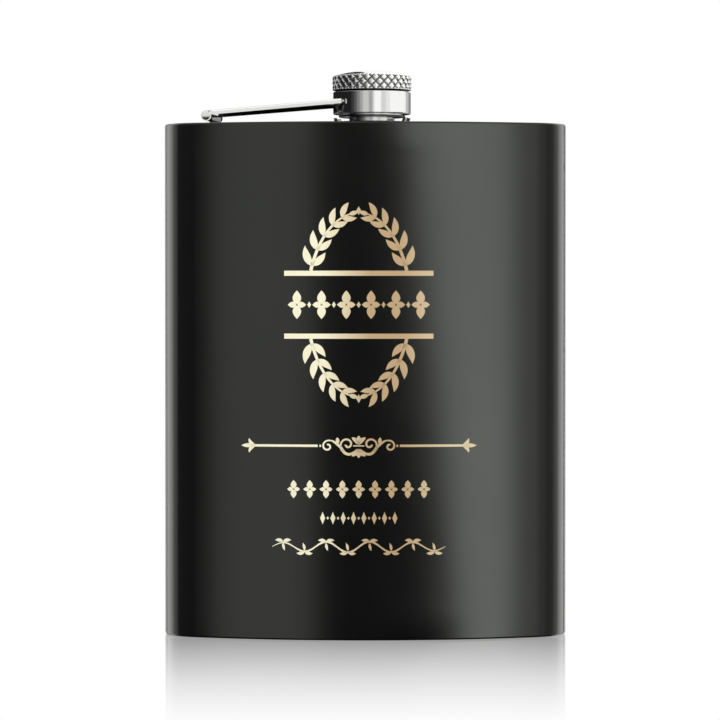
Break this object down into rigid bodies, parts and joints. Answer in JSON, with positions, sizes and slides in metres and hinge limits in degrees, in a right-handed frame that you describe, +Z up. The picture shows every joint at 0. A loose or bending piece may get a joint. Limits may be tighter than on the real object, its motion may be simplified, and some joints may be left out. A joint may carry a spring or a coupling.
{
  "type": "hip flask",
  "caption": "Curved pocket flask with flat ends, rounded sides, and a knurled screw cap held captive by a hinged strap arm.",
  "frame": {"origin": "middle of the base's bounding box, on the plane the flask stands on", "axes": "+Z up through the neck, -Y out of the convex front, +Y out of the hollow back, +X to the right seen from the front, the arm's hinge at -X"},
  "size_m": [0.095, 0.0288, 0.1329],
  "materials": {
    "black_coat": "satin black powder coat, fine and even, on stainless steel",
    "polished_steel": "mirror-polished stainless steel with fine turning lines",
    "knurled_steel": "polished stainless steel, diamond knurled",
    "brushed_steel": "machined stainless steel",
    "silicone_seal": "matte translucent silicone",
    "gold_print": "satin pale gold ornament on the front"
  },
  "bodies": {
    "flask": {"body_sleeve": "black_coat", "top_plate": "black_coat", "base_plate": "black_coat", "neck": "brushed_steel", "neck_seat": "polished_steel", "hinge_lug": "polished_steel"},
    "arm": {"arm_strap": "polished_steel", "hinge_pin": "polished_steel", "pivot_pin_front": "polished_steel", "pivot_pin_rear": "polished_steel"},
    "collar": {"collar": "polished_steel"},
    "cap": {"cap_head": "knurled_steel", "cap_insert": "brushed_steel", "cap_gasket": "silicone_seal", "retaining_ring": "polished_steel"}
  },
  "joints": [
    {"name": "arm_swing", "type": "hinge", "parent": "flask", "child": "arm", "pos_m": [-0.03642, 0.00331, 0.12245], "axis": [-0.1736, -0.9848, 0], "range_deg": [0, 165]},
    {"name": "collar_tilt", "type": "hinge", "parent": "arm", "child": "collar", "pos_m": [-0.00508, -0.00222, 0.12549], "axis": [-0.1736, -0.9848, 0], "range_deg": [-83, 0]},
    {"name": "cap_turn", "type": "hinge", "parent": "collar", "child": "cap", "pos_m": [0.0015, -0.00338, 0.1256], "axis": [0, 0, 1], "continuous": true}
  ],
  "couplings": [
    {"joint": "collar_tilt", "follows": "arm_swing", "ratio": -0.5}
  ]
}
